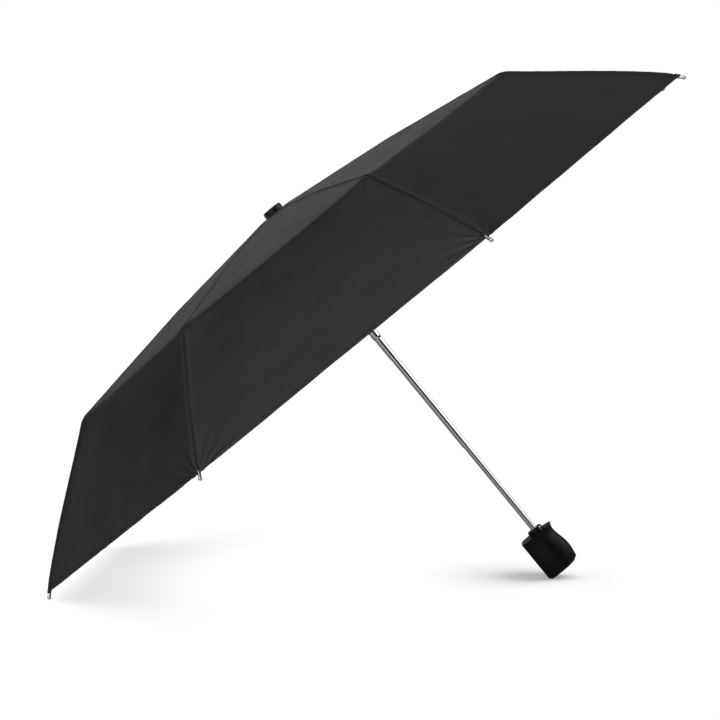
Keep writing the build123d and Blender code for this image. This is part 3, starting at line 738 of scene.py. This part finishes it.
# The fold at the hem's edge, and how unevenly the turned cloth lies on the gore
HEM_FOLD_RADIUS = 0.0003
HEM_UNEVEN = 0.00006
# How many rows past a hinge tell the direction in which its rib goes on
ROWS_AHEAD = 4


def half(g, side):
    """The half of gore g beside its rib on that side: -1 for the lower angle, +1 for the higher."""
    columns = slice(0, MIDDLE + 1) if side < 0 else slice(MIDDLE, None)
    return tuple(values[:, columns] for values in GORES[g % RIBS])


def turned_hem(points, normals, flats):
    """Rows that carry the cloth round the hem's edge and back inside it, as (points, normals, flats)."""
    down = unit(points[-1] - points[-2])
    radius = HEM_FOLD_RADIUS
    made = []
    for angle in np.radians((45, 90, 135, 180)):
        direction = math.cos(angle) * normals[-1] + math.sin(angle) * down
        edge = points[-1] - radius * normals[-1] + radius * direction
        made.append((edge, direction, flats[-1] + (0, radius * angle)))
    for n in range(2, ROWS_PER_HEM + 2):
        under = 2 * radius + HEM_UNEVEN * math.sin(n * 2.3)
        flat = flats[-1] + (0, 0.001 + HEM_TURN / ROWS_PER_HEM * n)
        made.append((points[-n] - under * normals[-n], -normals[-n], flat))
    return [np.array([m[i] for m in made]) for i in range(3)]


def hinge_cut(points, rib_side, mark):
    """Where each column of a half gore is cut at a hinge of its rib, as a row with its fraction. The
    cut runs square to the rib, not along the crease, so that no corner of the cloth stands out past
    the hinge when the canopy folds."""
    hinge, next_one = points[MARKS[mark], rib_side], points[MARKS[mark] + ROWS_AHEAD, rib_side]
    ahead = (points - hinge) @ (next_one - hinge)
    rows = np.arange(len(points))
    return np.array([np.interp(0, column, rows) for column in ahead.T])


for k in range(1, RIBS + 1):
    for label, side, g in (("a", 1, k - 1), ("b", -1, k)):
        points, normals, flats = half(g, side)
        rib_side = -1 if side > 0 else 0
        cuts = {name: np.full(points.shape[1], float(MARKS[name])) for name in ("skirt", "hem")}
        cuts.update((name, hinge_cut(points, rib_side, name)) for name in ("first", "knee"))
        for portion, link, start, end in PORTIONS:
            rows = slice(MARKS[start], MARKS[end] + 1)
            sewing = Sewing()
            sewing.grid(points, normals, flats, start=cuts[start], end=cuts[end])
            if portion == "outer":
                hem_points, hem_normals, hem_flats = turned_hem(points, normals, flats)
                sewing.grid(
                    np.concatenate([points[-1:], hem_points]),
                    np.concatenate([normals[-1:], hem_normals]),
                    np.concatenate([flats[-1:], hem_flats]),
                )
                stitched = -ROWS_PER_HEM
                sewing.stitches(points[stitched], normals[stitched], flats[stitched])
            piece = sewing.piece(f"gore_{portion}_{k}{label}", [FABRIC, THREAD])
            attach(piece, f"{link}_{k}")
            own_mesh(piece)
            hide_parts("canopy")


for k in range(1, RIBS + 1):
    low, high = half(k - 1, 1), half(k, -1)
    rows = slice(0, MARKS["skirt"] + 1)
    sewing = Sewing()
    for points, normals, flats in (low, high):
        sewing.grid(points[rows], normals[rows], flats[rows])
    piece = sewing.piece(f"crown_skirt_{k}", [FABRIC])
    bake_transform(piece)
    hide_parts("canopy")


# ------------------------------------------------------------------------
# Seam allowance: a felled tape under every rib seam, with a row of stitches on each side
# ------------------------------------------------------------------------
TAPE_COLUMNS = (-0.0035, -0.0024, -0.0012, 0.0, 0.0012, 0.0024, 0.0035)
TAPE_UNDER = 0.00042


def beside_rib(k, row, distance):
    """A point of the cloth at a distance from rib k's seam along a row, its normal and flat place."""
    g, side = (k - 1, 1) if distance < 0 else (k, -1)
    # Both ways, the row is read from the rib outwards.
    line, up, flat = (values[row][::-side] for values in half(g, side))
    along = run_along(line)
    return [value_at(abs(distance), along, values) for values in (line, up, flat)]


def seam_tape(k, name, first_row, last_row):
    rows = range(first_row, last_row + 1)
    table = [[beside_rib(k, row, d) for d in TAPE_COLUMNS] for row in rows]
    points = np.array([[c[0] for c in row] for row in table])
    up = np.array([[c[1] for c in row] for row in table])
    up = unit(up.mean(axis=1, keepdims=True) * 0.5 + up * 0.5)
    flats = np.array([[(d, RUN[row]) for d in TAPE_COLUMNS] for row in rows])
    under = points - up * TAPE_UNDER
    sewing = Sewing()
    sewing.grid(under, -up, flats, flip=True)
    for column in (1, -2):
        sewing.stitches(under[:, column], -up[:, column], flats[:, column])
    return sewing.piece(name, [FABRIC, THREAD])


half_way = int(np.searchsorted(RUN, (RUN[MARKS["first"]] + RUN[MARKS["knee"]]) / 2))
for k in range(1, RIBS + 1):
    first_hinge, knee = (np.array(rib_joint(k, link)["pos_m"]) for link in ("middle_rib", "outer_rib"))
    for name, a, b, pivot, rows in (
        (f"seam_top_{k}", "top_rib", "middle_rib", first_hinge, (MARKS["skirt"] - 2, half_way)),
        (f"seam_outer_{k}", "middle_rib", "outer_rib", knee, (half_way, len(RUN) - ROWS_PER_HEM - 3)),
    ):
        tape = seam_tape(k, name, *rows)
        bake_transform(tape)
        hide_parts("canopy")


# ------------------------------------------------------------------------
# Tie strap: a woven tape sewn on at the hem beside rib 2, folded back at its free end, with a
# press stud near that end
# ------------------------------------------------------------------------
STRAP_RIB = 2
STRAP_FROM_RIB = 0.005
STRAP_WIDTH = 0.0145
STRAP_THICK = 0.0008
STRAP_GAP = 0.0003
STRAP_STEP = 0.0016
# Its rows at the free end and its columns at an edge, told from there
END_ROWS = (0.0, 0.0003, 0.0008)
EDGE_COLUMNS = (0.0, 0.0005, 0.0012)
# Its other columns: the gaps beside the edge's columns, and the step
COLUMN_GAPS, COLUMN_STEP = (0.0011, 0.0008), 0.0012
# The shares of the full thickness that an edge and the free end have
EDGE_THIN, END_THIN = 0.35, 0.3
# The turned end is thicker by this share, up to here, and is sewn down here
TURNED_THICKER, TURNED_LENGTH, TURNED_SEWN = 0.35, (0.014, 0.0155), 0.0125
STRAP_RIPPLE, STRAP_RIPPLE_RATE = 0.00003, 900
# The box stitching at the hem: its first and last row, counted from the hem
BOX_FIRST, BOX_LAST = 10, 3
# (radius, height) of the stud's cap, from its middle to its underside, and the radius for its
# flat coordinates
STUD_PROFILE = (
    (0.0, 0.0012), (0.0014, 0.00116), (0.0026, 0.00102), (0.0031, 0.0008), (0.0035, 0.00078),
    (0.004, 0.0012), (0.0046, 0.00152), (0.0051, 0.0015), (0.00545, 0.0011), (0.0055, 0.0005),
    (0.0053, 0.00005), (0.003, 0.00002),
)
STUD_FLAT_RADIUS = 0.004
STUD_SIDES = 64


def tie_strap():
    """The tape's upper face follows the canopy's line beside its rib, with its edges rounded and its
    ends turned in.
    """
    across = around(STRAP_RIB * PITCH)
    ends = [place(rib_angle(STRAP_RIB), *point) + STRAP_FROM_RIB * across for point in RIB_LINE[-3:]]
    ends = np.array(ends)
    runs = run_along(ends)
    evenly = np.arange(STRAP_STEP, runs[-1] - 0.001, STRAP_STEP)
    stations = np.concatenate([END_ROWS, evenly, [runs[-1]]])
    smooth = [np.polyfit(runs, ends[:, c], 2) for c in range(3)]
    line = np.stack([np.polyval(fit, stations) for fit in smooth], axis=-1)
    ahead = unit(np.gradient(line, axis=0))
    up = unit(np.cross(ahead, across))
    if (up @ UP).mean() < 0:
        up = -up
    first_column, last_column = EDGE_COLUMNS[-1] + COLUMN_GAPS[0], STRAP_WIDTH - EDGE_COLUMNS[-1]
    inner = np.arange(first_column, last_column - COLUMN_GAPS[1], COLUMN_STEP)
    places = np.concatenate([EDGE_COLUMNS, inner, STRAP_WIDTH - np.array(EDGE_COLUMNS[::-1])])
    edge = np.minimum(places, STRAP_WIDTH - places)
    rounding = np.clip(edge / EDGE_COLUMNS[-1], 0, 1)
    end_rounding = np.clip(stations / END_ROWS[-1], 0, 1)
    fold = 1 + TURNED_THICKER * (1 - smoothstep(stations, *TURNED_LENGTH))
    ripple = STRAP_RIPPLE * np.sin(stations * STRAP_RIPPLE_RATE)[:, None] * rounding
    thickness = STRAP_THICK / 2 * (EDGE_THIN + (1 - EDGE_THIN) * rounding**0.5)[None, :]
    thickness = thickness * (END_THIN + (1 - END_THIN) * end_rounding**0.5)[:, None]
    heights = {1: thickness * fold[:, None] - ripple, -1: thickness}
    sewing = Sewing()
    middle_line = line + up * (STRAP_GAP + STRAP_THICK / 2)
    faces = []
    for face, height in heights.items():
        points = middle_line[:, None, :] + places[None, :, None] * across
        points = points + face * height[..., None] * up[:, None, :]
        lean = (1 - rounding) * np.where(places < STRAP_WIDTH / 2, -1, 1)
        normals = np.repeat(up[:, None, :] * face, len(places), axis=1)
        normals = normals + lean[None, :, None] * across
        flats = np.stack(np.meshgrid(places + 4.0, stations + face, indexing="xy"), axis=-1)
        sewing.grid(points, normals, flats, flip=face < 0)
        faces.append(points)
    upper, lower = faces
    for a, b, axis, out in (
        (upper[:, 0], lower[:, 0], 1, -across),
        (upper[:, -1], lower[:, -1], 1, across),
        (upper[0], lower[0], 0, -ahead[0]),
        (upper[-1], lower[-1], 0, ahead[-1]),
    ):
        rim = np.stack([a, b], axis=axis)
        rim_flat = np.zeros(rim.shape[:2] + (2,))
        sewing.grid(rim, np.broadcast_to(out, rim.shape), rim_flat, flip=out is across)
    # Box stitching at the hem and one row that holds the turned end.
    top_up = np.repeat(up[:, None, :], len(places), axis=1)
    flat = np.zeros(upper.shape[:2] + (2,))
    first, last = len(stations) - BOX_FIRST, len(stations) - BOX_LAST
    turned = int(np.searchsorted(stations, TURNED_SEWN))
    lines = [(slice(first, last), column) for column in (3, len(places) - 4)]
    lines += [(row, slice(3, -3)) for row in (first, last - 1, turned)]
    for where in lines:
        sewing.stitches(upper[where], top_up[where], flat[where])
    return sewing.piece("tie_strap_tape", [WEBBING, THREAD])


def press_stud():
    """The stud's cap: a shallow dished disc with a rolled rim, on the CAD stud's place."""
    low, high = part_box("tie_snap")
    vertices = np.array([v.co for v in nodes["tie_snap"].data.vertices])
    centre = (np.array(low) + np.array(high)) / 2
    _, _, directions = np.linalg.svd(vertices - vertices.mean(axis=0), full_matrices=False)
    axis = directions[2] * (1 if directions[2] @ UP > 0 else -1)
    spans = (vertices - centre) @ axis
    base = centre + axis * spans.min()
    side = unit(np.cross(axis, SIDE_Y))
    other = np.cross(axis, side)
    turns = np.linspace(0, 2 * math.pi, STUD_SIDES + 1)
    circle = np.cos(turns)[:, None] * side + np.sin(turns)[:, None] * other
    profile = np.array(STUD_PROFILE)
    slope = np.gradient(profile, axis=0)
    points = np.array([base + r * circle + h * axis for r, h in profile])
    normals = np.array([-dh * circle + dr * axis for dr, dh in slope])
    around_it = turns * STUD_FLAT_RADIUS
    flats = np.stack(np.meshgrid(around_it, profile[:, 0], indexing="xy"), axis=-1)
    sewing = Sewing()
    sewing.grid(points, normals, flats)
    return sewing.piece("tie_stud_cap", [FINISHES["bright_metal"]])


strap = tie_strap()
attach(strap, f"outer_rib_{STRAP_RIB}")
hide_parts("tie_strap")
stud = press_stud()
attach(stud, f"outer_rib_{STRAP_RIB}")
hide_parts("tie_snap")


# ------------------------------------------------------------------------
# Floor and light: a white lit table in a dark studio with large soft lights around it
# ------------------------------------------------------------------------
# (azimuth and elevation in degrees, sharpness, strength) of each soft light
ROOM = (
    (-118, 12, 5, 2.0),
    (-152, 46, 14, 1.7),
    (104, 17, 14, 0.37),
    (40, 58, 6, 0.46),
)
ROOM_GLOW = 0.02
# A curved strip light stands square to the shaft, above and to its right. It fades in between
# these cosines from its middle.
STRIP = 1.5
STRIP_NARROW = 28
STRIP_TURN = math.radians(2)
STRIP_FADE = (0.74, 0.86)
# The room is dark behind the camera and to its right: between these cosines from its middle, the
# light falls to this share
DARK_CARD = (0.36, -0.9, 0.25)
DARK_CARD_FADE = (0.82, 0.93)
DARK_CARD_SHARE = 0.01
FLOOR_SIZE = 30.0
FLOOR_WHITE = 1.02
FLOOR_GLOW = 0.1
FLOOR_TONES = (0.44, 0.46)
# The soft shade on the floor, beside the canopy and beside the handle: (distance in metres, depth,
# share of the view that must be closed for full depth, side on which the object lies, and the x
# where it starts and where it has its full depth)
CONTACT_SHADE = (
    (0.16, 0.42, 1.0, (-0.5, 0.0, 0.87), (-0.36, -0.31)),
    (0.13, 0.5, 0.3, (0.9, -0.1, 0.42), (0.0, 0.12)),
)
SHADE_SAMPLES = 16


def make_stage():
    """A pale floor. Seen directly it's a lit table, shaded only where something is close above it."""
    m = Nodes("lit_floor", specular_ior_level=0.1, emission_strength=FLOOR_GLOW)
    m.shader.inputs["Emission Color"].default_value = grey(1.0)
    mottle = m.noise(m.coordinates("Object"), 3.0, 3)
    m.to("Base Color", m.mix(mottle, *(grey(tone) for tone in FLOOR_TONES)))
    m.to("Roughness", m.ramp(mottle, 0, 1, 0.7, 0.8))
    strength = FLOOR_WHITE
    x = m.node("SeparateXYZ", {"Vector": m.coordinates("Object")}).outputs["X"]
    for distance, depth, closed, side, (starts, full) in CONTACT_SHADE:
        toward = m.node("CombineXYZ", dict(zip("XYZ", side))).outputs["Vector"]
        view = {"Distance": distance, "Normal": toward}
        open_sky = m.node("AmbientOcclusion", view, samples=SHADE_SAMPLES).outputs["AO"]
        shade = m.ramp(open_sky, 1 - closed, 1, depth, 0)
        shade = m.math("MULTIPLY", shade, m.ramp(x, starts, full, 0, 1))
        strength = m.math("MULTIPLY", strength, m.math("SUBTRACT", 1.0, shade))
    table = m.node("Emission", {"Color": grey(1.0), "Strength": strength}).outputs[0]
    seen = m.node("LightPath").outputs["Is Camera Ray"]
    either = m.node("MixShader", {0: seen, 1: m.shader.outputs[0], 2: table}).outputs[0]
    m.tree.links.new(either, m.tree.nodes["Material Output"].inputs["Surface"])
    mesh = bpy.data.meshes.new("floor")
    corners = [(x * FLOOR_SIZE, y * FLOOR_SIZE, 0) for x, y in ((-1, -1), (1, -1), (1, 1), (-1, 1))]
    mesh.from_pydata(corners, [], [(0, 1, 2, 3)])
    mesh.materials.append(m.material)
    floor = bpy.data.objects.new("floor", mesh)
    bpy.context.scene.collection.objects.link(floor)


def make_light():
    """The room is white to the camera, and lights the object from a few broad directions."""
    world = bpy.data.worlds.new("studio")
    world.use_nodes = True
    tree = world.node_tree
    direction = add_node(tree, "TexCoord").outputs["Generated"]

    def facing(side):
        """The cosine of the angle between a direction and that side."""
        pair = {0: direction, 1: side}
        return add_node(tree, "VectorMath", pair, operation="DOT_PRODUCT").outputs["Value"]

    def calculate(operation, *values):
        return add_node(tree, "Math", dict(enumerate(values)), operation=operation).outputs[0]

    def fade(value, start, end, to_start, to_end):
        ends = {"From Min": start, "From Max": end, "To Min": to_start, "To Max": to_end}
        inputs = {"Value": value, **ends}
        return add_node(tree, "MapRange", inputs, interpolation_type="SMOOTHSTEP").outputs["Result"]

    total = ROOM_GLOW
    for azimuth, elevation, sharpness, strength in ROOM:
        a, e = math.radians(azimuth), math.radians(elevation)
        toward = (math.cos(a) * math.cos(e), math.sin(a) * math.cos(e), math.sin(e))
        lobe = calculate("POWER", calculate("MAXIMUM", facing(toward), 0.0), sharpness)
        total = calculate("MULTIPLY_ADD", lobe, strength, total)
    aside = facing(tuple(UP))
    narrow = calculate("SUBTRACT", 1.0, calculate("MULTIPLY", aside, aside))
    narrow = calculate("POWER", narrow, STRIP_NARROW)
    above = tuple(SIDE_X * math.cos(STRIP_TURN) - SIDE_Y * math.sin(STRIP_TURN))
    strip = calculate("MULTIPLY", narrow, fade(facing(above), *STRIP_FADE, 0.0, 1.0))
    total = calculate("MULTIPLY_ADD", strip, STRIP, total)
    card = fade(facing(DARK_CARD), *DARK_CARD_FADE, 1.0, DARK_CARD_SHARE)
    total = calculate("MULTIPLY", total, card)
    lit = add_node(tree, "Background", {"Color": grey(1.0), "Strength": total}).outputs[0]
    seen = tree.nodes["Background"]
    seen.inputs["Color"].default_value = grey(1.0)
    camera_ray = add_node(tree, "LightPath").outputs["Is Camera Ray"]
    both = {0: camera_ray, 1: lit, 2: seen.outputs[0]}
    either = add_node(tree, "MixShader", both).outputs[0]
    tree.links.new(either, tree.nodes["World Output"].inputs["Surface"])
    bpy.context.scene.world = world


make_stage()
make_light()
bpy.context.scene.view_settings.view_transform = "Standard"
bpy.context.scene.view_settings.look = "None"
